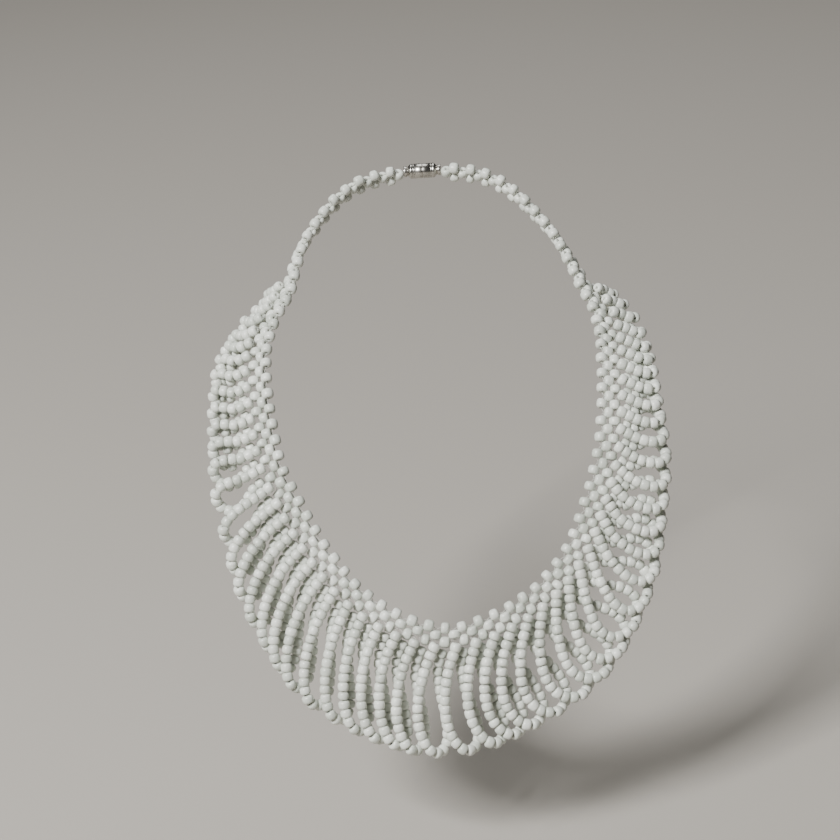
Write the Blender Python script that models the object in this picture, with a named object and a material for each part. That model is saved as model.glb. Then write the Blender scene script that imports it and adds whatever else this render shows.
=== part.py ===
"""Bib necklace of white glass seed beads, in metres, +Z up, worn facing -Y.

A netted band of three bead rows goes round the neck, a fringe of beaded loops hangs from its
outer edge, and a barrel clasp joins its two ends behind the neck. The origin is the point of
the nape that the band seats on. Everything is placed on the surface that the necklace drapes
over: "run" is the distance along the band, "out" the distance from its inner bead row towards
the fringe, and "height" the distance off the wearer.
"""

from math import comb, cos, pi, radians, sin

import bmesh
import bpy
import numpy as np

# Seed beads
BEAD_DIAMETER = 0.0043
BEAD_LENGTH = 0.0035

# Net band: how far the rounded shoulders of neighbouring beads reach past each other
SHOULDER_ALONG = 0.0006
SHOULDER_ACROSS = 0.00115
EDGE_THICKNESS = 0.0026
NET_PITCH = BEAD_DIAMETER + BEAD_LENGTH - 2 * SHOULDER_ALONG
ROW_SPACING = (BEAD_DIAMETER + BEAD_LENGTH) / 2 - SHOULDER_ACROSS
FIRST_BEAD = 2

# Drape of the inner bead row round the neck
HALF_WIDTH = 0.0665
REACH = 0.140
FALL = 0.1396
SEAT_ROUNDS = 30
SEAT_SHARE = 0.6

# Fringe of loops
LOOP_DROP = 0.041
LOOP_WIDTH = 0.026
LEG_SHARE = 0.55
BACK_NARROWING = 0.6
FIRST_LOOP = 12
LAST_LOOP = 66
STRING_SHARES = (0.27, 0.5, 0.75)
STRING_DIAMETER = BEAD_DIAMETER - 0.0003
LAYER_CLEARANCE = 0.0014
LAYER_CHANGE = 0.007
FAR_SHARE = 1.6
PULL_SHARE = 0.5
CHANGE_ZONE = (0.3, 0.85)
TURN_PLACES = (1.12, 1.38)
TURN_RISE = 0.3
STEPS_A_SPAN = 12
TUBE_RESOLUTION = 2

# Clasp
CLASP_DIAMETER = 0.0062
CLASP_NECK_DIAMETER = 0.0036
CLASP_CAP_DIAMETER = 0.0046
CLASP_CAP_LENGTH = 0.0014
CLASP_TAPER = 0.0016
CLASP_LIFT = 0.0005
CLASP_SIDES = 12

CLEARANCE = 0.0003

BAND_HEIGHT = BEAD_DIAMETER / 2
BACK_HEIGHT = BEAD_DIAMETER / 2
FRONT_HEIGHT = BACK_HEIGHT + BEAD_DIAMETER + LAYER_CLEARANCE
BAND_WIDTH = 2 * ROW_SPACING
TURN_OUT = BAND_WIDTH + BEAD_DIAMETER / 2 + CLEARANCE + STRING_DIAMETER / 2
TURN_DEPTH = 0.0018
ROOT_OUT = BAND_WIDTH + BEAD_DIAMETER / 2 - CLEARANCE

# The band's course round the neck, from the nape by the wearer's right shoulder, the chest and
# the left shoulder back to the nape. across, forward and down are shares of HALF_WIDTH, REACH
# and FALL. facing and tilt are degrees: the way that the wearer's skin faces there, turned from
# the front, and how far it looks up. drop and spread are shares of LOOP_DROP and LOOP_WIDTH.
# hang and lean are the degrees by which a loop turns along the band, at its root and as a whole.
COLUMNS = ("across", "forward", "down", "facing", "tilt", "drop", "hang", "lean", "spread")
COURSE = (
    (0.00, 0.000, 0.000, -180, 32, 0.08, 0, 0, 0.80),
    (-0.42, 0.038, 0.022, -165, 36, 0.08, 0, 0, 0.80),
    (-0.71, 0.162, 0.130, -145, 44, 0.14, 4, 6, 0.50),
    (-0.825, 0.308, 0.240, -120, 50, 0.16, 8, 12, 0.55),
    (-0.945, 0.419, 0.306, -80, 52, 0.18, 12, 18, 0.85),
    (-1.00, 0.560, 0.395, -34, 48, 0.23, 15, 20, 1.00),
    (-0.952, 0.729, 0.571, -14, 36, 0.38, 12, 33, 1.00),
    (-0.854, 0.800, 0.674, -12, 31, 0.70, 10, 48, 1.00),
    (-0.711, 0.869, 0.786, -10, 27, 0.95, 12, 54, 0.98),
    (-0.535, 0.933, 0.887, -7, 23, 1.00, 16, 48, 1.00),
    (-0.290, 0.983, 0.963, -3, 20, 0.98, 0, 40, 1.00),
    (-0.030, 1.000, 1.000, 0, 20, 0.92, -20, 16, 1.00),
    (0.235, 0.985, 0.980, 3, 20, 0.86, -40, 3, 1.15),
    (0.500, 0.935, 0.930, 7, 23, 0.80, -47, 6, 1.70),
    (0.702, 0.880, 0.840, 10, 27, 0.64, -46, 6, 1.90),
    (0.833, 0.818, 0.720, 12, 31, 0.49, -40, 38, 1.50),
    (0.925, 0.752, 0.604, 14, 36, 0.38, -26, 34, 1.00),
    (0.966, 0.670, 0.492, 21, 42, 0.27, -20, 28, 0.65),
    (0.985, 0.560, 0.397, 36, 48, 0.21, -16, 26, 0.58),
    (0.978, 0.442, 0.335, 62, 52, 0.15, -6, 16, 0.55),
    (0.895, 0.337, 0.266, 98, 50, 0.11, 0, 6, 0.55),
    (0.72, 0.172, 0.136, 140, 44, 0.08, 0, 0, 0.55),
    (0.42, 0.042, 0.022, 165, 36, 0.08, 0, 0, 0.80),
)


def clear_scene():
    for old in list(bpy.data.objects):
        bpy.data.objects.remove(old, do_unlink=True)


def make_material(name, colour, roughness, metallic):
    material = bpy.data.materials.new(name)
    material.use_nodes = True
    shader = material.node_tree.nodes["Principled BSDF"]
    shader.inputs["Base Color"].default_value = (*colour, 1.0)
    shader.inputs["Roughness"].default_value = roughness
    shader.inputs["Metallic"].default_value = metallic
    return material


def unit(vectors):
    return vectors / np.linalg.norm(vectors, axis=-1, keepdims=True)


def course_rows():
    """The course as numbers: position, facing vector, drop, hang, lean and spread of each row."""
    table = {name: np.array(column, float) for name, column in zip(COLUMNS, zip(*COURSE))}
    facing = np.radians(table["facing"])
    tilt = np.radians(table["tilt"])
    return np.column_stack((
        table["across"] * HALF_WIDTH,
        -table["forward"] * REACH,
        -table["down"] * FALL,
        np.sin(facing) * np.cos(tilt),
        -np.cos(facing) * np.cos(tilt),
        np.sin(tilt),
        table["drop"] * LOOP_DROP,
        np.radians(table["hang"]),
        np.radians(table["lean"]),
        table["spread"] * LOOP_WIDTH,
    ))


def closed_curve(rows, steps=60):
    """A smooth closed curve through the rows, with its first point repeated at the end."""
    place = np.linspace(0, len(rows), len(rows) * steps + 1)
    index = np.floor(place).astype(int)
    share = (place - index)[:, None]
    before, start, end, after = (rows[(index + k) % len(rows)] for k in (-1, 0, 1, 2))
    return start + share / 2 * (
        end - before
        + share * (2 * before - 5 * start + 4 * end - after)
        + share * share * (3 * start - before - 3 * end + after)
    )


CURVE = closed_curve(course_rows())
RUNS = np.concatenate(([0], np.cumsum(np.linalg.norm(np.diff(CURVE[:, :3], axis=0), axis=1))))
UNITS = round(RUNS[-1] / NET_PITCH)
PITCH = RUNS[-1] / UNITS


def read_curve(unit_place):
    run = (np.atleast_1d(unit_place) * PITCH) % RUNS[-1]
    return np.column_stack([np.interp(run, RUNS, column) for column in CURVE.T])


def frame_at(unit_place):
    """Position of the inner bead row there, with the along, outward and off-body directions."""
    row = read_curve(unit_place)
    ahead, behind = (read_curve(unit_place + way / 5)[:, :3] for way in (1, -1))
    along = unit(ahead - behind)
    facing = row[:, 3:6]
    off = unit(facing - (facing * along).sum(1, keepdims=True) * along)
    return row[:, :3], along, np.cross(along, off), off


def on_drape(unit_place, out, height):
    """World points at those places of the draped surface."""
    origin, along, outward, off = frame_at(np.asarray(unit_place, float))
    return origin + np.reshape(out, (-1, 1)) * outward + np.reshape(height, (-1, 1)) * off


def seat_on_drape(points, unit_place):
    """Unit places and outward distances of world points that lie near the draped surface."""
    place = np.full(len(points), float(unit_place))
    for _ in range(SEAT_ROUNDS):
        origin, along, outward, off = frame_at(place)
        out = ((points - origin) * outward).sum(1)
        ahead = ((points - origin) * along).sum(1)
        widening = 1 + np.clip(out, 0, 1.4 * LOOP_DROP) / HALF_WIDTH
        place = place + SEAT_SHARE * ahead / (PITCH * widening)
    return place, out


def root_at(number, out):
    """World point at that distance out on the line that a loop hangs along, and its direction."""
    along, outward = (value[0] for value in frame_at(number)[1:3])
    hang = read_curve(number)[0, 7]
    point = on_drape(number, out, 0)[0] + (out - ROOT_OUT) * sin(hang) / cos(hang) * along
    return point, cos(hang) * outward + sin(hang) * along


def loop_plan(number, steps):
    """Unit places and outward distances along one loop, seen square to the drape."""
    along, outward = (value[0] for value in frame_at(number + 0.5)[1:3])
    drop, _, lean, width = read_curve(number + 0.5)[0, 6:]
    axis = cos(lean) * outward + sin(lean) * along
    side = cos(lean) * along - sin(lean) * outward
    start, leaving = root_at(number + 0.5, TURN_OUT + TURN_DEPTH)
    finish, entering = root_at(number + 1.0, TURN_OUT + TURN_DEPTH)
    lead = LEG_SHARE * drop
    far = start + axis * (FAR_SHARE * drop - PULL_SHARE * lead)
    controls = (
        start,
        start + leaving * lead,
        far - side * width,
        far + side * width * (1 - BACK_NARROWING * abs(sin(lean))),
        finish + entering * lead,
        finish,
    )
    t = np.linspace(0, 1, steps + 1)[:, None]
    degree = len(controls) - 1
    points = sum(
        comb(degree, k) * (1 - t) ** (degree - k) * t ** k * control
        for k, control in enumerate(controls)
    )
    return seat_on_drape(points, number + 0.5)


def ease(share):
    share = np.clip(share, 0, 1)
    return share * share * (3 - 2 * share)


def loop_heights(number, steps):
    """Heights along one loop: it drops to the back layer where it runs in line with the next."""
    plan = on_drape(*loop_plan(number, steps), 0)
    following = on_drape(*loop_plan(number + 1, steps), 0)
    going = unit(np.gradient(plan, axis=0))
    apart = np.linalg.norm(np.cross(going, following - plan), axis=1)
    first, last = (int(share * steps) for share in CHANGE_ZONE)
    crossing = first + np.argmin(apart[first:last])
    length = np.concatenate(([0], np.cumsum(np.linalg.norm(np.diff(plan, axis=0), axis=1))))
    change = ease((length - length[crossing]) / LAYER_CHANGE + 0.5)
    return FRONT_HEIGHT - (FRONT_HEIGHT - BACK_HEIGHT) * change


def loop_route(number):
    """World points of one loop: front leg, far end, back leg, and the turn to the next loop."""
    drop = read_curve(number + 0.5)[0, 6]
    spans = int(round(4 + drop / (2 * BEAD_DIAMETER)))
    fine = spans * STEPS_A_SPAN
    place, out = loop_plan(number, fine)
    height = loop_heights(number, fine)
    points = on_drape(place, out, height)[::STEPS_A_SPAN]
    rise = FRONT_HEIGHT - BACK_HEIGHT
    turn = [
        root_at(number + place, TURN_OUT)[0] + height * frame_at(number + place)[3][0]
        for place, height in zip(
            TURN_PLACES, (BACK_HEIGHT + TURN_RISE * rise, FRONT_HEIGHT - TURN_RISE * rise),
        )
    ]
    return points, turn


def string_route(first, last):
    points = []
    for number in range(first, last):
        loop, turn = loop_route(number)
        points.extend(loop)
        if number < last - 1:
            points.extend(turn)
    return points


def make_string(name, first, last, material):
    """A string of beads as one tube that makes the loops first to last - 1."""
    curve = bpy.data.curves.new(name, "CURVE")
    curve.dimensions = "3D"
    curve.bevel_depth = STRING_DIAMETER / 2
    curve.bevel_resolution = TUBE_RESOLUTION
    curve.use_fill_caps = True
    route = string_route(first, last)
    spline = curve.splines.new("POLY")
    spline.points.add(len(route) - 1)
    for point, place in zip(spline.points, route):
        point.co = (*place, 1.0)
    curve.materials.append(material)
    tube = bpy.data.objects.new(name, curve)
    bpy.context.collection.objects.link(tube)
    return tube


def make_fringe(material):
    loops = LAST_LOOP + 1 - FIRST_LOOP
    starts = [FIRST_LOOP] + [FIRST_LOOP + round(share * loops) for share in STRING_SHARES]
    ends = starts[1:] + [LAST_LOOP + 1]
    names = ("right_shoulder", "right_chest", "left_chest", "left_shoulder")
    for name, first, last in zip(names, starts, ends):
        make_string("loop_string_" + name, first, last, material)


def bead_outline(lengthwise):
    """Eight corners of a bead seen from above, as distances along and across the band."""
    if lengthwise:
        long_half, wide_half = BEAD_LENGTH / 2, BEAD_DIAMETER / 2
        shoulder = (PITCH - BEAD_DIAMETER) / 2, ROW_SPACING - BEAD_LENGTH / 2
    else:
        long_half, wide_half = BEAD_DIAMETER / 2, BEAD_LENGTH / 2
        shoulder = (PITCH - BEAD_LENGTH) / 2, ROW_SPACING - BEAD_DIAMETER / 2
    corner_along, corner_across = shoulder
    return (
        (long_half, -corner_across), (long_half, corner_across),
        (corner_along, wide_half), (-corner_along, wide_half),
        (-long_half, corner_across), (-long_half, -corner_across),
        (-corner_along, -wide_half), (corner_along, -wide_half),
    )


def link_mesh(name, net, material):
    mesh = bpy.data.meshes.new(name)
    net.to_mesh(mesh)
    net.free()
    mesh.materials.append(material)
    made = bpy.data.objects.new(name, mesh)
    bpy.context.collection.objects.link(made)
    return made


def band_beads():
    """Unit place, row and lie of every bead of the net; a middle bead ends it on both sides."""
    last = UNITS - FIRST_BEAD
    beads = [(number, row, True) for number in range(FIRST_BEAD, last + 1) for row in (0, 2)]
    return beads + [(number - 0.5, 1, False) for number in range(FIRST_BEAD, last + 2)]


def make_band(material):
    """The net as one pierced sheet of beads that are joined where their shoulders meet."""
    net = bmesh.new()
    corners = {}

    def corner(run, out, side, half):
        key = (round(run * 1e6), round(out * 1e6), side)
        if key not in corners:
            point = on_drape(run / PITCH, out, BAND_HEIGHT + side * half)[0]
            corners[key] = net.verts.new(point)
        return corners[key]

    rims = []
    for place, row, lengthwise in band_beads():
        run, out = place * PITCH, row * ROW_SPACING
        outline = bead_outline(lengthwise)
        front, back = (
            [corner(run + a, out + b, side, EDGE_THICKNESS / 2) for a, b in outline]
            for side in (1, -1)
        )
        crown = corner(run, out, 1, BEAD_DIAMETER / 2)
        for start, end in zip(front, front[1:] + front[:1]):
            net.faces.new((end, start, crown))
        net.faces.new(back)
        rims.append((front, back))
    for front, back in rims:
        for k, start in enumerate(front):
            end = front[k - 1]
            if len(net.edges.get((start, end)).link_faces) == 1:
                net.faces.new((end, start, back[k], back[k - 1]))
    return link_mesh("net_band", net, material)


def make_clasp(material):
    """A turned barrel between the band's two end beads, lifted clear of the neck."""
    reach = FIRST_BEAD - 0.5 - BEAD_DIAMETER / 2 / PITCH
    height = CLASP_DIAMETER / 2 + CLASP_LIFT
    start, end = on_drape((-reach, reach), (ROW_SPACING, ROW_SPACING), (height, height))
    axis = unit(end - start)
    half = np.linalg.norm(end - start) / 2 - CLEARANCE
    shoulder = half - CLASP_CAP_LENGTH
    body = shoulder - CLASP_TAPER
    profile = (
        (half, CLASP_CAP_DIAMETER), (shoulder, CLASP_CAP_DIAMETER),
        (shoulder, CLASP_NECK_DIAMETER), (body, CLASP_DIAMETER),
    )
    profile += tuple((-place, diameter) for place, diameter in reversed(profile))
    off = frame_at(0)[3][0]
    across = unit(np.cross(off, axis))
    off = np.cross(axis, across)
    turned = bmesh.new()
    rings = []
    for place, diameter in profile:
        ring = []
        for side in range(CLASP_SIDES):
            angle = 2 * pi * side / CLASP_SIDES
            spoke = cos(angle) * across + sin(angle) * off
            point = (start + end) / 2 + place * axis + diameter / 2 * spoke
            ring.append(turned.verts.new(point))
        rings.append(ring)
    for ring, following in zip(rings, rings[1:]):
        for side in range(CLASP_SIDES):
            turned.faces.new((ring[side], following[side], following[side - 1], ring[side - 1]))
    turned.faces.new(rings[0])
    turned.faces.new(reversed(rings[-1]))
    bmesh.ops.recalc_face_normals(turned, faces=turned.faces)
    return link_mesh("barrel_clasp", turned, material)


clear_scene()
make_band(make_material("band_beads", (0.60, 0.61, 0.58), 0.32, 0.0))
make_fringe(make_material("fringe_beads", (0.64, 0.65, 0.62), 0.32, 0.0))
make_clasp(make_material("nickel_plate", (0.55, 0.54, 0.52), 0.25, 1.0))
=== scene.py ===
from math import comb, cos, pi, radians, sin

import bpy
import numpy as np
from mathutils import Matrix, Vector


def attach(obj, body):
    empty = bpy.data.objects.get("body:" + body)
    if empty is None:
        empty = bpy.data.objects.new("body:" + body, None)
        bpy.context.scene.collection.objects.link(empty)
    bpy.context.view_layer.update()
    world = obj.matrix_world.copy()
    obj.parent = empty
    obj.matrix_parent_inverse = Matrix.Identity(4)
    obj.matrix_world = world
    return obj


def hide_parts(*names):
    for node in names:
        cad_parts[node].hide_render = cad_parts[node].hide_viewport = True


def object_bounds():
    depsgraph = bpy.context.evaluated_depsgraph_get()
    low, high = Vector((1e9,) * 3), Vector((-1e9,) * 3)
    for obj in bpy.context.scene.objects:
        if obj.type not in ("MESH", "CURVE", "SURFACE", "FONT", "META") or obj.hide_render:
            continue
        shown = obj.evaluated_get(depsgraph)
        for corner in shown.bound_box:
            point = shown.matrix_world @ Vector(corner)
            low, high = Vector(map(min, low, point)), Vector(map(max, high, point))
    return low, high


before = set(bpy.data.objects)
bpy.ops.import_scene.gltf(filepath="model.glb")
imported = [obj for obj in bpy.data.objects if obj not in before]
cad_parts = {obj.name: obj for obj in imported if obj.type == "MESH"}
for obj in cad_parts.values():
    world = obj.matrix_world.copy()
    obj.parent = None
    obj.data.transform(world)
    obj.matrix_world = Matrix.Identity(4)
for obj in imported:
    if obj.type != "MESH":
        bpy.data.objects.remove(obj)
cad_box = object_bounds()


# Net band. Three rows of white glass seed beads, stitched with thread into an open net: the beads
# of the inner and outer rows lie along the band, those of the middle row stand across it. It lies
# on the neck and chest on a closed course, from which every bead of the necklace takes its place.
BEAD_DIAMETER = 0.0043
BEAD_LENGTH = 0.0035

# How far the rounded shoulders of neighbouring beads reach past each other, and the first place
# on the band that has beads: the clasp fills the places before it.
SHOULDER_ALONG = 0.0006
SHOULDER_ACROSS = 0.00115
ROW_SPACING = (BEAD_DIAMETER + BEAD_LENGTH) / 2 - SHOULDER_ACROSS
NET_PITCH = BEAD_DIAMETER + BEAD_LENGTH - 2 * SHOULDER_ALONG
FIRST_BEAD = 2
BAND_HEIGHT = BEAD_DIAMETER / 2

HALF_WIDTH = 0.0665
REACH = 0.140
FALL = 0.1396
LOOP_DROP = 0.041
LOOP_WIDTH = 0.026
SPAN_STEPS = 60
TANGENT_REACH = 0.2

# The course from the nape by the wearer's right shoulder, the chest and the left shoulder back to
# the nape. across, forward and down are shares of HALF_WIDTH, REACH and FALL; facing and tilt say
# how the skin faces there, in degrees. drop and spread are shares of LOOP_DROP and LOOP_WIDTH;
# hang and lean are the degrees by which a loop turns along the band, at its root and as a whole.
COLUMNS = ("across", "forward", "down", "facing", "tilt", "drop", "hang", "lean", "spread")
COURSE = (
    (0.00, 0.000, 0.000, -180, 32, 0.08, 0, 0, 0.80),
    (-0.42, 0.038, 0.022, -165, 36, 0.08, 0, 0, 0.80),
    (-0.71, 0.162, 0.130, -145, 44, 0.14, 4, 6, 0.50),
    (-0.825, 0.308, 0.240, -120, 50, 0.16, 8, 12, 0.55),
    (-0.945, 0.419, 0.306, -80, 52, 0.18, 12, 18, 0.85),
    (-1.00, 0.560, 0.395, -34, 48, 0.23, 15, 20, 1.00),
    (-0.952, 0.729, 0.571, -14, 36, 0.38, 12, 33, 1.00),
    (-0.854, 0.800, 0.674, -12, 31, 0.70, 10, 48, 1.00),
    (-0.711, 0.869, 0.786, -10, 27, 0.95, 12, 54, 0.98),
    (-0.535, 0.933, 0.887, -7, 23, 1.00, 16, 48, 1.00),
    (-0.290, 0.983, 0.963, -3, 20, 0.98, 0, 40, 1.00),
    (-0.030, 1.000, 1.000, 0, 20, 0.92, -20, 16, 1.00),
    (0.235, 0.985, 0.980, 3, 20, 0.86, -40, 3, 1.15),
    (0.500, 0.935, 0.930, 7, 23, 0.80, -47, 6, 1.70),
    (0.702, 0.880, 0.840, 10, 27, 0.64, -46, 6, 1.90),
    (0.833, 0.818, 0.720, 12, 31, 0.49, -40, 38, 1.50),
    (0.925, 0.752, 0.604, 14, 36, 0.38, -26, 34, 1.00),
    (0.966, 0.670, 0.492, 21, 42, 0.27, -20, 28, 0.65),
    (0.985, 0.560, 0.397, 36, 48, 0.21, -16, 26, 0.58),
    (0.978, 0.442, 0.335, 62, 52, 0.15, -6, 16, 0.55),
    (0.895, 0.337, 0.266, 98, 50, 0.11, 0, 6, 0.55),
    (0.72, 0.172, 0.136, 140, 44, 0.08, 0, 0, 0.55),
    (0.42, 0.042, 0.022, 165, 36, 0.08, 0, 0, 0.80),
)


def unit(vectors):
    """Those vectors at length 1."""
    return vectors / np.linalg.norm(vectors, axis=-1, keepdims=True)


def course_rows():
    """Points, facings and loop sizes of the course in metres and radians, one row each."""
    table = {name: np.array(column, float) for name, column in zip(COLUMNS, zip(*COURSE))}
    facing = np.radians(table["facing"])
    tilt = np.radians(table["tilt"])
    return np.column_stack((
        table["across"] * HALF_WIDTH,
        -table["forward"] * REACH,
        -table["down"] * FALL,
        np.sin(facing) * np.cos(tilt),
        -np.cos(facing) * np.cos(tilt),
        np.sin(tilt),
        table["drop"] * LOOP_DROP,
        np.radians(table["hang"]),
        np.radians(table["lean"]),
        table["spread"] * LOOP_WIDTH,
    ))


def closed_curve(rows):
    """Closed curve through those rows, with SPAN_STEPS points from each row to the next."""
    place = np.linspace(0, len(rows), len(rows) * SPAN_STEPS + 1)
    index = np.floor(place).astype(int)
    share = (place - index)[:, None]
    before, start, end, after = (rows[(index + k) % len(rows)] for k in (-1, 0, 1, 2))
    return start + share / 2 * (
        end - before
        + share * (2 * before - 5 * start + 4 * end - after)
        + share * share * (3 * start - before - 3 * end + after)
    )


CURVE = closed_curve(course_rows())
RUNS = np.concatenate(([0], np.cumsum(np.linalg.norm(np.diff(CURVE[:, :3], axis=0), axis=1))))
UNITS = round(RUNS[-1] / NET_PITCH)
PITCH = RUNS[-1] / UNITS
LAST_BEAD = UNITS - FIRST_BEAD


def read_curve(unit_place):
    """Row of the curve there; unit places count the net's beads from the nape."""
    run = (np.atleast_1d(unit_place) * PITCH) % RUNS[-1]
    return np.column_stack([np.interp(run, RUNS, column) for column in CURVE.T])


def frame_at(unit_place):
    """Point of the inner row there, with the along, outward and off-body directions."""
    row = read_curve(unit_place)
    ahead, behind = (read_curve(unit_place + way * TANGENT_REACH)[:, :3] for way in (1, -1))
    along = unit(ahead - behind)
    facing = row[:, 3:6]
    off = unit(facing - (facing * along).sum(1, keepdims=True) * along)
    return row[:, :3], along, np.cross(along, off), off


def on_drape(unit_place, out, height):
    """World points that far along, outward and off the body from the inner row."""
    origin, along, outward, off = frame_at(np.asarray(unit_place, float))
    return origin + np.reshape(out, (-1, 1)) * outward + np.reshape(height, (-1, 1)) * off


# Half of a bead's section from its waist over its rounded end into the hole, as shares of half its
# length and of its radius. No two beads are quite alike: below are the mean, spread, least and
# most of their length and width, and how far their axes, ends and places in the net stray. The
# net's beads are picked a little fuller than the fringe's.
SECTION = (
    (0.00, 1.00), (0.40, 0.985), (0.68, 0.91), (0.88, 0.74), (0.97, 0.52), (0.98, 0.32),
    (0.86, 0.22),
)
BEAD_SIDES = 16
LENGTH_SPREAD = (1.01, 0.055, 0.88, 1.12)
WIDTH_SPREAD = (1.02, 0.03, 0.95, 1.08)
AXIS_SPREAD = 0.045
SLANT_SPREAD = 0.07
NET_FULLNESS = 1.05
NET_SPREAD_ALONG = 0.012
NET_SPREAD_OUT = 0.00010
NET_SPREAD_HEIGHT = 0.00025
NET_SEED = 11

# Width of the cloudy patches in the glass, with their gain and level as shares of its two
# tones, and width of the ripples on its skin.
GLASS_MOTTLE = 0.0016
MOTTLE_GAIN = 0.35
MOTTLE_LEVEL = -0.17
GLASS_RIPPLE = 0.0009


def ring_faces(rings, sides):
    """Faces of a closed body of that many rings, the last of which joins the first."""
    corner = np.arange(rings * sides).reshape(rings, sides)
    following = np.roll(corner, -1, 0)
    quads = (corner, np.roll(corner, -1, 1), np.roll(following, -1, 1), following)
    return np.stack(quads, -1).reshape(-1, 4)


def spread_shares(random, size, mean, spread, least, most):
    """Random shares round that mean, kept between the least and the most."""
    return random.normal(mean, spread, size).clip(least, most)


def bead_points(centres, axes, random, fullness=1.0):
    """Corners and faces of beads that are strung at those centres, each a little uneven."""
    count = len(centres)
    half = np.array(SECTION)
    section = np.vstack((half, half[:0:-1] * (-1, 1)))
    angle = np.arange(BEAD_SIDES) * 2 * pi / BEAD_SIDES
    axes = unit(axes + random.normal(0, AXIS_SPREAD, (count, 3)))
    spoke = unit(np.cross(axes, unit(random.normal(0, 1, (count, 3)))))
    other = np.cross(axes, spoke)
    length = BEAD_LENGTH * fullness * spread_shares(random, count, *LENGTH_SPREAD)
    width = BEAD_DIAMETER * fullness * spread_shares(random, (2, count), *WIDTH_SPREAD)
    slant = random.normal(0, SLANT_SPREAD, (2, count))
    along, wide = section[:, 0], section[:, 1]
    turn = wide[:, None] * np.cos(angle)
    lift = wide[:, None] * np.sin(angle)
    ends = np.where(along[:, None] > 0, 1, 0)
    tip = (1 + slant[0][:, None, None] * turn * ends + slant[1][:, None, None] * turn * (1 - ends))
    reach = along[:, None] * tip * length[:, None, None] / 2
    points = (
        centres[:, None, None]
        + reach[..., None] * axes[:, None, None]
        + (width[0][:, None, None] / 2 * turn)[..., None] * spoke[:, None, None]
        + (width[1][:, None, None] / 2 * lift)[..., None] * other[:, None, None]
    )
    first_corner = np.arange(count)[:, None, None] * len(section) * BEAD_SIDES
    faces = ring_faces(len(section), BEAD_SIDES) + first_corner
    return points.reshape(-1, 3), faces.reshape(-1, 4)


def add_mesh(name, points, faces, material):
    """A smooth object of those corners and faces."""
    mesh = bpy.data.meshes.new(name)
    mesh.from_pydata(points.tolist(), [], faces.tolist())
    mesh.polygons.foreach_set("use_smooth", np.ones(len(mesh.polygons), bool))
    mesh.materials.append(material)
    made = bpy.data.objects.new(name, mesh)
    bpy.context.collection.objects.link(made)
    return made


def linear(hex_colour):
    """Linear colour of an sRGB hex value."""
    srgb = np.array([int(hex_colour[k:k + 2], 16) / 255 for k in (1, 3, 5)])
    low, high = srgb / 12.92, ((srgb + 0.055) / 1.055) ** 2.4
    return (*np.where(srgb <= 0.04045, low, high).tolist(), 1.0)


def add_node(material, kind, settings=None, links=None):
    """Adds a node of that kind, with its settings and the sockets that feed it."""
    node = material.node_tree.nodes.new(kind)
    for name, value in (settings or {}).items():
        if isinstance(name, int) or name in node.inputs:
            node.inputs[name].default_value = value
        else:
            setattr(node, name, value)
    for name, source in (links or {}).items():
        material.node_tree.links.new(source, node.inputs[name])
    return node


def opaque_glass(name, dark, light, roughness):
    """Opaque white glass, cut from drawn cane and tumbled in heat until the cut ends melt round.

    It gives a chalky body with a soft gloss; each bead's white is a little off its neighbour's,
    and the skin is faintly uneven where the tumbling medium touched it.
    """
    material = bpy.data.materials.new(name)
    material.use_nodes = True
    shader = material.node_tree.nodes["Principled BSDF"]
    shader.inputs["Roughness"].default_value = roughness
    shader.inputs["IOR"].default_value = 1.52
    shader.inputs["Subsurface Weight"].default_value = 0.12
    shader.inputs["Subsurface Radius"].default_value = (1.0, 0.95, 0.85)
    shader.inputs["Subsurface Scale"].default_value = 0.0006
    island = add_node(material, "ShaderNodeNewGeometry")
    place = add_node(material, "ShaderNodeTexCoord")
    mottle = add_node(
        material, "ShaderNodeTexNoise",
        {"Scale": 1 / GLASS_MOTTLE, "Detail": 2.0, "Roughness": 0.5},
        {"Vector": place.outputs["Object"]},
    )
    spread = add_node(
        material, "ShaderNodeMath",
        {"operation": "MULTIPLY_ADD", 1: MOTTLE_GAIN, 2: MOTTLE_LEVEL},
    )
    material.node_tree.links.new(mottle.outputs["Fac"], spread.inputs[0])
    mixed = add_node(material, "ShaderNodeMath", {"operation": "ADD", "use_clamp": True})
    material.node_tree.links.new(island.outputs["Random Per Island"], mixed.inputs[0])
    material.node_tree.links.new(spread.outputs[0], mixed.inputs[1])
    ramp = add_node(material, "ShaderNodeValToRGB", None, {"Fac": mixed.outputs[0]})
    ramp.color_ramp.elements[0].color = linear(dark)
    ramp.color_ramp.elements[1].color = linear(light)
    skin = add_node(
        material, "ShaderNodeTexNoise",
        {"Scale": 1 / GLASS_RIPPLE, "Detail": 1.0},
        {"Vector": place.outputs["Object"]},
    )
    bump = add_node(
        material, "ShaderNodeBump", {"Strength": 0.25, "Distance": 0.00006},
        {"Height": skin.outputs["Fac"]},
    )
    material.node_tree.links.new(ramp.outputs["Color"], shader.inputs["Base Color"])
    material.node_tree.links.new(bump.outputs["Normal"], shader.inputs["Normal"])
    return material


def net_places(row):
    """Unit places of the beads of one of the net's rows; a middle bead ends it on both sides."""
    if row == 1:
        return np.arange(FIRST_BEAD, LAST_BEAD + 2) - 0.5
    return np.arange(FIRST_BEAD, LAST_BEAD + 1).astype(float)


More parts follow.
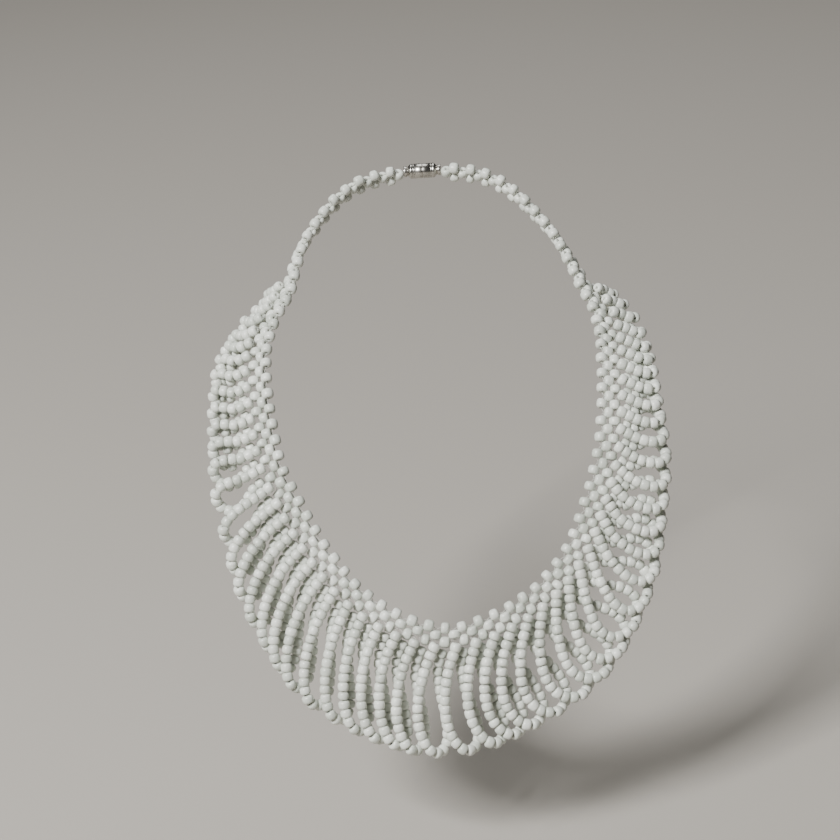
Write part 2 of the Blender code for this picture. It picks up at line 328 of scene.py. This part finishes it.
band_glass = opaque_glass("band_bead_glass", "#BFC3B9", "#DBDDD5", 0.36)
net_random = np.random.default_rng(NET_SEED)
for row_number, row_name in enumerate(("inner_row", "middle_row", "outer_row")):
    places = net_places(row_number)
    count = len(places)
    centres = on_drape(
        places + net_random.normal(0, NET_SPREAD_ALONG, count),
        row_number * ROW_SPACING + net_random.normal(0, NET_SPREAD_OUT, count),
        BAND_HEIGHT + net_random.uniform(0, NET_SPREAD_HEIGHT, count),
    )
    _, along, outward, _ = frame_at(places)
    axes = outward if row_number == 1 else along
    points, faces = bead_points(centres, axes, net_random, NET_FULLNESS)
    row_beads = add_mesh(row_name, points, faces, band_glass)
    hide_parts("net_band")
    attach(row_beads, "root")


# Stitching thread. Fine twisted white nylon, which leaves each bead's hole and turns into the
# hole of the bead across the corner, so it shows only as short bridges in the net's openings.
THREAD_DIAMETER = 0.00024
CORNER_LEAD = 0.06
CORNER_RISE = 0.0005
BEAD_END = BEAD_LENGTH / 2 / PITCH

# Spacing of the ribs that the plies make, and the slant at which they run. A wave texture has
# one band in every pi / 10 of a unit at scale 1.
PLY_RIB = 0.0003456
PLY_TURN = (radians(40), radians(35), radians(30))
WAVE_BAND = pi / 10


def add_thread(name, routes, material):
    """Thread along each of those routes, as one object."""
    curve = bpy.data.curves.new(name, "CURVE")
    curve.dimensions = "3D"
    curve.bevel_depth = THREAD_DIAMETER / 2
    curve.bevel_resolution = 1
    curve.use_fill_caps = True
    for route in routes:
        spline = curve.splines.new("POLY")
        spline.points.add(len(route) - 1)
        spline.points.foreach_set("co", np.column_stack((route, np.ones(len(route)))).ravel())
    curve.materials.append(material)
    made = bpy.data.objects.new(name, curve)
    bpy.context.collection.objects.link(made)
    return made


def twisted_nylon(name):
    """White nylon thread, two plies twisted together: a dull sheen with a slanting rib."""
    material = bpy.data.materials.new(name)
    material.use_nodes = True
    shader = material.node_tree.nodes["Principled BSDF"]
    shader.inputs["Roughness"].default_value = 0.55
    shader.inputs["IOR"].default_value = 1.53
    shader.inputs["Sheen Weight"].default_value = 0.3
    place = add_node(material, "ShaderNodeTexCoord")
    turn = add_node(
        material, "ShaderNodeMapping", {"Rotation": PLY_TURN},
        {"Vector": place.outputs["Object"]},
    )
    ply = add_node(
        material, "ShaderNodeTexWave", {"Scale": WAVE_BAND / PLY_RIB, "Distortion": 1.5},
        {"Vector": turn.outputs["Vector"]},
    )
    ramp = add_node(material, "ShaderNodeValToRGB", None, {"Fac": ply.outputs["Fac"]})
    ramp.color_ramp.elements[0].color = linear("#A3A39B")
    ramp.color_ramp.elements[1].color = linear("#CFCFC7")
    bump = add_node(
        material, "ShaderNodeBump", {"Strength": 0.5, "Distance": 0.00005},
        {"Height": ply.outputs["Fac"]},
    )
    material.node_tree.links.new(ramp.outputs["Color"], shader.inputs["Base Color"])
    material.node_tree.links.new(bump.outputs["Normal"], shader.inputs["Normal"])
    return material


thread_nylon = twisted_nylon("thread_nylon")
stitches = []
for number in range(FIRST_BEAD, LAST_BEAD + 1):
    for row in (0, 2):
        for way in (-1, 1):
            lengthwise_end = way * BEAD_END
            crosswise_end = (row - 1) * BEAD_LENGTH / 2
            middle = number + way * 0.5
            corner_out = ROW_SPACING + crosswise_end
            stitches.append(on_drape(
                (number + 0.5 * lengthwise_end, number + lengthwise_end,
                 middle - way * CORNER_LEAD, middle, middle),
                (row * ROW_SPACING, row * ROW_SPACING, corner_out + (row - 1) * CORNER_RISE,
                 corner_out, ROW_SPACING + 0.5 * crosswise_end),
                (BAND_HEIGHT,) * 5,
            ))
band_thread = add_thread("band_thread", stitches, thread_nylon)
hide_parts("net_band")
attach(band_thread, "root")


# Fringe. Loops of the same seed beads on thread hang from every corner of the outer row. Each
# starts with a bead that sits on that row, runs down as a front leg, turns at its far end and
# comes back as a rear leg under the front legs of the next loops.
FIRST_LOOP = 12
LAST_LOOP = 66
STRING_SHARES = (0.27, 0.5, 0.75)
LOOP_STEPS = 96
THREAD_STRIDE = 4
CLEARANCE = 0.0003
FRINGE_SEED = 5

# Seen square to the drape, a loop is a smooth curve that leaves the net at TURN_OUT + TURN_DEPTH.
# Its legs keep their direction for LEG_SHARE of the drop, and its far end lies FAR_SHARE of the
# drop out, less PULL_SHARE of that lead. A loop that leans has a rear leg nearer its front leg.
TURN_GAP = 0.0020
TURN_OUT = 2 * ROW_SPACING + BEAD_DIAMETER / 2 + CLEARANCE + TURN_GAP
TURN_DEPTH = 0.0018
LEG_SHARE = 0.55
FAR_SHARE = 1.6
PULL_SHARE = 0.5
BACK_NARROWING = 0.6
SEAT_ROUNDS = 30
SEAT_SHARE = 0.6
WIDENING_REACH = 1.4 * LOOP_DROP

# Front and rear legs lie in two layers. A loop changes layer where it crosses the next one, within
# CHANGE_ZONE of its way. Its first bead sits on the outer row and its last ends at TAIL_OUT.
LAYER_GAP = 0.0008
BACK_HEIGHT = BEAD_DIAMETER / 2
FRONT_HEIGHT = BACK_HEIGHT + BEAD_DIAMETER + LAYER_GAP
LAYER_CHANGE = 0.007
CHANGE_ZONE = (0.3, 0.85)
ROOT_OUT = 2 * ROW_SPACING + BEAD_DIAMETER / 2 - CLEARANCE
ROOT_HEIGHT = 0.0056
ROOT_RISE = 0.012
SEAT_OUT = 0.0058
SEAT_HEIGHT = 0.0053
TAIL_OUT = 0.0086


def seat_on_drape(points, unit_place):
    """Unit places and outward distances of world points that lie near the drape."""
    place = np.full(len(points), float(unit_place))
    for _ in range(SEAT_ROUNDS):
        origin, along, outward, off = frame_at(place)
        out = ((points - origin) * outward).sum(1)
        ahead = ((points - origin) * along).sum(1)
        widening = 1 + np.clip(out, 0, WIDENING_REACH) / HALF_WIDTH
        place = place + SEAT_SHARE * ahead / (PITCH * widening)
    return place, out


def root_at(number, out):
    """World point at that distance out on the line that a loop hangs along, and its direction."""
    along, outward = (value[0] for value in frame_at(number)[1:3])
    hang = read_curve(number)[0, 7]
    point = on_drape(number, out, 0)[0] + (out - ROOT_OUT) * sin(hang) / cos(hang) * along
    return point, cos(hang) * outward + sin(hang) * along


def loop_plan(number, steps):
    """Unit places and outward distances along one loop, seen square to the drape."""
    along, outward = (value[0] for value in frame_at(number + 0.5)[1:3])
    drop, _, lean, width = read_curve(number + 0.5)[0, 6:]
    axis = cos(lean) * outward + sin(lean) * along
    side = cos(lean) * along - sin(lean) * outward
    start, leaving = root_at(number + 0.5, TURN_OUT + TURN_DEPTH)
    finish, entering = root_at(number + 1.0, TURN_OUT + TURN_DEPTH)
    lead = LEG_SHARE * drop
    far = start + axis * (FAR_SHARE * drop - PULL_SHARE * lead)
    controls = (
        start,
        start + leaving * lead,
        far - side * width,
        far + side * width * (1 - BACK_NARROWING * abs(sin(lean))),
        finish + entering * lead,
        finish,
    )
    t = np.linspace(0, 1, steps + 1)[:, None]
    degree = len(controls) - 1
    points = sum(
        comb(degree, k) * (1 - t) ** (degree - k) * t ** k * control
        for k, control in enumerate(controls)
    )
    return seat_on_drape(points, number + 0.5)


def ease(share):
    """Smooth step from 0 to 1."""
    share = np.clip(share, 0, 1)
    return share * share * (3 - 2 * share)


def lengths(points):
    """Length of the way to each of those points from the first."""
    return np.concatenate(([0], np.cumsum(np.linalg.norm(np.diff(points, axis=0), axis=1))))


def loop_heights(number, steps):
    """Heights along one loop, which sinks to the rear layer where it runs in line with the next."""
    plan = on_drape(*loop_plan(number, steps), 0)
    following = on_drape(*loop_plan(number + 1, steps), 0)
    going = unit(np.gradient(plan, axis=0))
    apart = np.linalg.norm(np.cross(going, following - plan), axis=1)
    first, last = (int(share * steps) for share in CHANGE_ZONE)
    crossing = first + np.argmin(apart[first:last])
    length = lengths(plan)
    sink = ease((length - length[crossing]) / LAYER_CHANGE + 0.5)
    climb = ease(length / ROOT_RISE)
    front = ROOT_HEIGHT + (FRONT_HEIGHT - ROOT_HEIGHT) * climb
    return front - (front - BACK_HEIGHT) * sink


def loop_path(number):
    """World points of one loop's thread where it carries beads."""
    place, out = loop_plan(number, LOOP_STEPS)
    height = loop_heights(number, LOOP_STEPS)
    root, tail = (
        root_at(at, reach)[0] + rise * frame_at(at)[3][0]
        for at, reach, rise in (
            (number + 0.5, SEAT_OUT, SEAT_HEIGHT), (number + 1.0, TAIL_OUT, BACK_HEIGHT),
        )
    )
    return np.vstack((root, on_drape(place, out, height), tail))


def string_beads(path):
    """Centres and axes of the beads that fill a path from end to end."""
    length = lengths(path)
    count = max(3, round(length[-1] / BEAD_LENGTH))
    at = (np.arange(count) + 0.5) * length[-1] / count
    step = BEAD_LENGTH / 2
    centres, ahead, behind = (
        np.column_stack([np.interp(at + way, length, column) for column in path.T])
        for way in (0, step, -step)
    )
    return centres, unit(ahead - behind)


fringe_glass = opaque_glass("fringe_bead_glass", "#C1C5BB", "#DFE1D9", 0.34)
fringe_random = np.random.default_rng(FRINGE_SEED)
loop_count = LAST_LOOP + 1 - FIRST_LOOP
starts = [FIRST_LOOP] + [FIRST_LOOP + round(share * loop_count) for share in STRING_SHARES]
ends = starts[1:] + [LAST_LOOP + 1]
for side_name, first, last in zip(
    ("right_shoulder", "right_chest", "left_chest", "left_shoulder"), starts, ends,
):
    strung = [string_beads(loop_path(number)) for number in range(first, last)]
    centres = np.vstack([loop_centres for loop_centres, _ in strung])
    axes = np.vstack([loop_axes for _, loop_axes in strung])
    points, faces = bead_points(centres, axes, fringe_random)
    loop_beads = add_mesh("loop_beads_" + side_name, points, faces, fringe_glass)
    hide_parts("loop_string_" + side_name)
    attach(loop_beads, "root")

    routes = []
    for number in range(first, last):
        leaving, entering = (
            on_drape(places, (2 * ROW_SPACING,) * 2, (BAND_HEIGHT,) * 2)
            for places in (
                (number + 0.5 * BEAD_END, number + BEAD_END),
                (number + 1 - BEAD_END, number + 1 - 0.5 * BEAD_END),
            )
        )
        routes.append(np.vstack((leaving, loop_path(number)[::THREAD_STRIDE], entering)))
    loop_thread = add_thread("loop_thread_" + side_name, routes, thread_nylon)
    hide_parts("loop_string_" + side_name)
    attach(loop_thread, "root")


# Barrel clasp. A small turned brass barrel, nickel plated, whose two halves screw together behind
# the neck. Two fine grooves on each half give the fingers a grip, and the band's thread enters its
# end caps.
CLASP_DIAMETER = 0.0062
CLASP_NECK_DIAMETER = 0.0036
CLASP_CAP_DIAMETER = 0.0046
CLASP_CAP_LENGTH = 0.0014
CLASP_TAPER = 0.0016
CLASP_LIFT = 0.0005
CLASP_HOLE_DIAMETER = 0.0010
CLASP_SIDES = 64
SEAM_WIDTH = 0.00024
SEAM_DEPTH = 0.00025
GRIP_PLACES = (0.0014, 0.0008)
GRIP_WIDTH = 0.00024
GRIP_DEPTH = 0.00012
EDGE_RADIUS = 0.00030
SEAM_EDGE_RADIUS = 0.3 * EDGE_RADIUS
TAPER_STEPS = 8

# Real rings from a lathe are less than 0.1 mm apart. They are drawn wider here, so that they
# show. The second value is the width of the patches where the plating is worn duller.
LATHE_RING = 0.000377
PLATING_WEAR = 0.002


def turned_half(half):
    """Places and radii from the middle seam over the end cap into the thread's hole."""
    shoulder = half - CLASP_CAP_LENGTH
    body = shoulder - CLASP_TAPER
    barrel, neck, cap = CLASP_DIAMETER / 2, CLASP_NECK_DIAMETER / 2, CLASP_CAP_DIAMETER / 2
    rounding = [(1 - cos(radians(angle)), 1 - sin(radians(angle))) for angle in (0, 30, 60, 90)]
    seam = [(SEAM_WIDTH / 2, barrel - SEAM_DEPTH)]
    seam += [(SEAM_WIDTH / 2 + SEAM_EDGE_RADIUS * u, barrel - SEAM_EDGE_RADIUS * v)
             for u, v in rounding]
    grip = [
        (body - place + share * GRIP_WIDTH / 2, barrel - depth)
        for place in GRIP_PLACES
        for share, depth in ((-1, 0), (-0.5, GRIP_DEPTH), (0.5, GRIP_DEPTH), (1, 0))
    ]
    taper = [
        (body + share * CLASP_TAPER, barrel - (barrel - neck) * ease(share))
        for share in np.linspace(0, 1, TAPER_STEPS + 1)
    ]
    front_rim = [(shoulder + EDGE_RADIUS * u, cap - EDGE_RADIUS * v) for u, v in rounding]
    end_rim = [(half - EDGE_RADIUS * u, cap - EDGE_RADIUS * v) for u, v in reversed(rounding)]
    hole = [(half, CLASP_HOLE_DIAMETER / 2), (half - EDGE_RADIUS, CLASP_HOLE_DIAMETER / 2)]
    return np.array(seam + grip + taper + front_rim + end_rim + hole)


def nickel_plate(name):
    """Bright nickel on turned brass: a warm grey mirror with faint rings left by the lathe."""
    material = bpy.data.materials.new(name)
    material.use_nodes = True
    shader = material.node_tree.nodes["Principled BSDF"]
    shader.inputs["Metallic"].default_value = 1.0
    place = add_node(material, "ShaderNodeTexCoord")
    rings = add_node(
        material, "ShaderNodeTexWave",
        {"Scale": WAVE_BAND / LATHE_RING, "Distortion": 0.4, "Detail": 3.0},
        {"Vector": place.outputs["Object"]},
    )
    wear = add_node(
        material, "ShaderNodeTexNoise", {"Scale": 1 / PLATING_WEAR, "Detail": 4.0},
        {"Vector": place.outputs["Object"]},
    )
    tone = add_node(material, "ShaderNodeValToRGB", None, {"Fac": wear.outputs["Fac"]})
    tone.color_ramp.elements[0].color = linear("#B2AFA8")
    tone.color_ramp.elements[1].color = linear("#C9C6BF")
    gloss = add_node(
        material, "ShaderNodeMapRange", {"To Min": 0.20, "To Max": 0.36},
        {"Value": wear.outputs["Fac"]},
    )
    bump = add_node(
        material, "ShaderNodeBump", {"Strength": 0.1, "Distance": 0.00002},
        {"Height": rings.outputs["Fac"]},
    )
    material.node_tree.links.new(tone.outputs["Color"], shader.inputs["Base Color"])
    material.node_tree.links.new(gloss.outputs["Result"], shader.inputs["Roughness"])
    material.node_tree.links.new(bump.outputs["Normal"], shader.inputs["Normal"])
    return material


band_end = FIRST_BEAD - 0.5
reach = band_end - BEAD_DIAMETER / 2 / PITCH
clasp_height = CLASP_DIAMETER / 2 + CLASP_LIFT
start, end = on_drape((-reach, reach), (ROW_SPACING,) * 2, (clasp_height,) * 2)
axis = unit(end - start)
half_section = turned_half(np.linalg.norm(end - start) / 2 - CLEARANCE)
section = np.vstack((half_section, half_section[::-1] * (-1, 1)))
across = unit(np.cross(frame_at(0)[3][0], axis))
off = np.cross(axis, across)
angle = np.arange(CLASP_SIDES) * 2 * pi / CLASP_SIDES
spokes = np.cos(angle)[:, None] * across + np.sin(angle)[:, None] * off
points = (start + end) / 2 + section[:, :1, None] * axis + section[:, 1:, None] * spokes
faces = ring_faces(len(section), CLASP_SIDES)
clasp = add_mesh("clasp_barrel", points.reshape(-1, 3), faces, nickel_plate("clasp_nickel"))
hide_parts("barrel_clasp")
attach(clasp, "root")

# On each side the thread leaves both ends of the end bead's hole, goes round its rim and enters
# the cap.
TIE_PLACES = (0.3, 0.56, 0.5)
TIE_AHEAD = 0.08
TIE_CLIMB = 0.3
ties = []
for way, cap_end in ((-1, start), (1, end)):
    for side in (-1, 1):
        around_bead = on_drape(
            (way * band_end, way * band_end, way * (reach + TIE_AHEAD)),
            ROW_SPACING + side * np.array(TIE_PLACES) * BEAD_LENGTH,
            (BAND_HEIGHT, BAND_HEIGHT, BAND_HEIGHT + TIE_CLIMB * (clasp_height - BAND_HEIGHT)),
        )
        inside_cap = cap_end - way * CLASP_CAP_LENGTH * axis
        ties.append(np.vstack((around_bead, cap_end, inside_cap)))
clasp_thread = add_thread("clasp_thread", ties, thread_nylon)
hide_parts("net_band")
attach(clasp_thread, "root")


# Floor. A pale matt studio sweep under the necklace, which stays where it is worn.
FLOOR_HALF = 3.0
FLOOR_DROP = 0.05
floor_corners = ((-FLOOR_HALF, -FLOOR_HALF), (FLOOR_HALF, -FLOOR_HALF),
                 (FLOOR_HALF, FLOOR_HALF), (-FLOOR_HALF, FLOOR_HALF))
floor_mesh = bpy.data.meshes.new("floor")
floor_mesh.from_pydata([(x, y, 0) for x, y in floor_corners], [], [(0, 1, 2, 3)])
floor = bpy.data.objects.new("floor", floor_mesh)
floor.location = (0, 0, cad_box[0][2] - FLOOR_DROP)
bpy.context.collection.objects.link(floor)
paper = bpy.data.materials.new("matt_paper")
paper.use_nodes = True
paper.node_tree.nodes["Principled BSDF"].inputs["Base Color"].default_value = linear("#A29D95")
paper.node_tree.nodes["Principled BSDF"].inputs["Roughness"].default_value = 0.9
floor_mesh.materials.append(paper)


# Studio light. A soft box in front of the necklace, above and to the left of the camera, which
# leaves the rear legs of the loops in the shade of the front ones, and a weak wide one behind.
world = bpy.data.worlds.new("studio")
bpy.context.scene.world = world
world.use_nodes = True
world.node_tree.nodes["Background"].inputs["Color"].default_value = linear("#F2F2F0")
world.node_tree.nodes["Background"].inputs["Strength"].default_value = 0.06
LIGHTS = (
    ("front_box", (-0.90, -1.08, 1.20), 0.5, 74.0),
    ("back_box", (0.0, 0.9, 1.4), 1.2, 13.0),
)
LIGHT_TARGET = Vector((0.0, -0.09, -0.09))
for light_name, place, size, power in LIGHTS:
    lamp = bpy.data.lights.new(light_name, "AREA")
    lamp.size = size
    lamp.energy = power
    box = bpy.data.objects.new(light_name, lamp)
    box.location = place
    to_target = LIGHT_TARGET - Vector(place)
    box.rotation_euler = to_target.to_track_quat("-Z", "Y").to_euler()
    bpy.context.collection.objects.link(box)


# Camera, from the front and above, rolled a little as the photograph is.
CAMERA_TARGET = Vector((-0.0073, -0.092, -0.072))
CAMERA_DISTANCE = 1.0
CAMERA_ELEVATION = radians(24)
CAMERA_ROLL = radians(3.5)
CAMERA_LENS = 108
CAMERA_SENSOR = 36
forward = Vector((0, cos(CAMERA_ELEVATION), -sin(CAMERA_ELEVATION)))
upward = Vector((0, sin(CAMERA_ELEVATION), cos(CAMERA_ELEVATION)))
sideways = Vector((1, 0, 0))
camera_x = cos(CAMERA_ROLL) * sideways - sin(CAMERA_ROLL) * upward
camera_y = sin(CAMERA_ROLL) * sideways + cos(CAMERA_ROLL) * upward
camera_data = bpy.data.cameras.new("camera")
camera_data.lens = CAMERA_LENS
camera_data.sensor_width = CAMERA_SENSOR
camera = bpy.data.objects.new("camera", camera_data)
turned = Matrix((camera_x, camera_y, -forward)).transposed().to_4x4()
camera.matrix_world = Matrix.Translation(CAMERA_TARGET - CAMERA_DISTANCE * forward) @ turned
bpy.context.collection.objects.link(camera)
bpy.context.scene.camera = camera
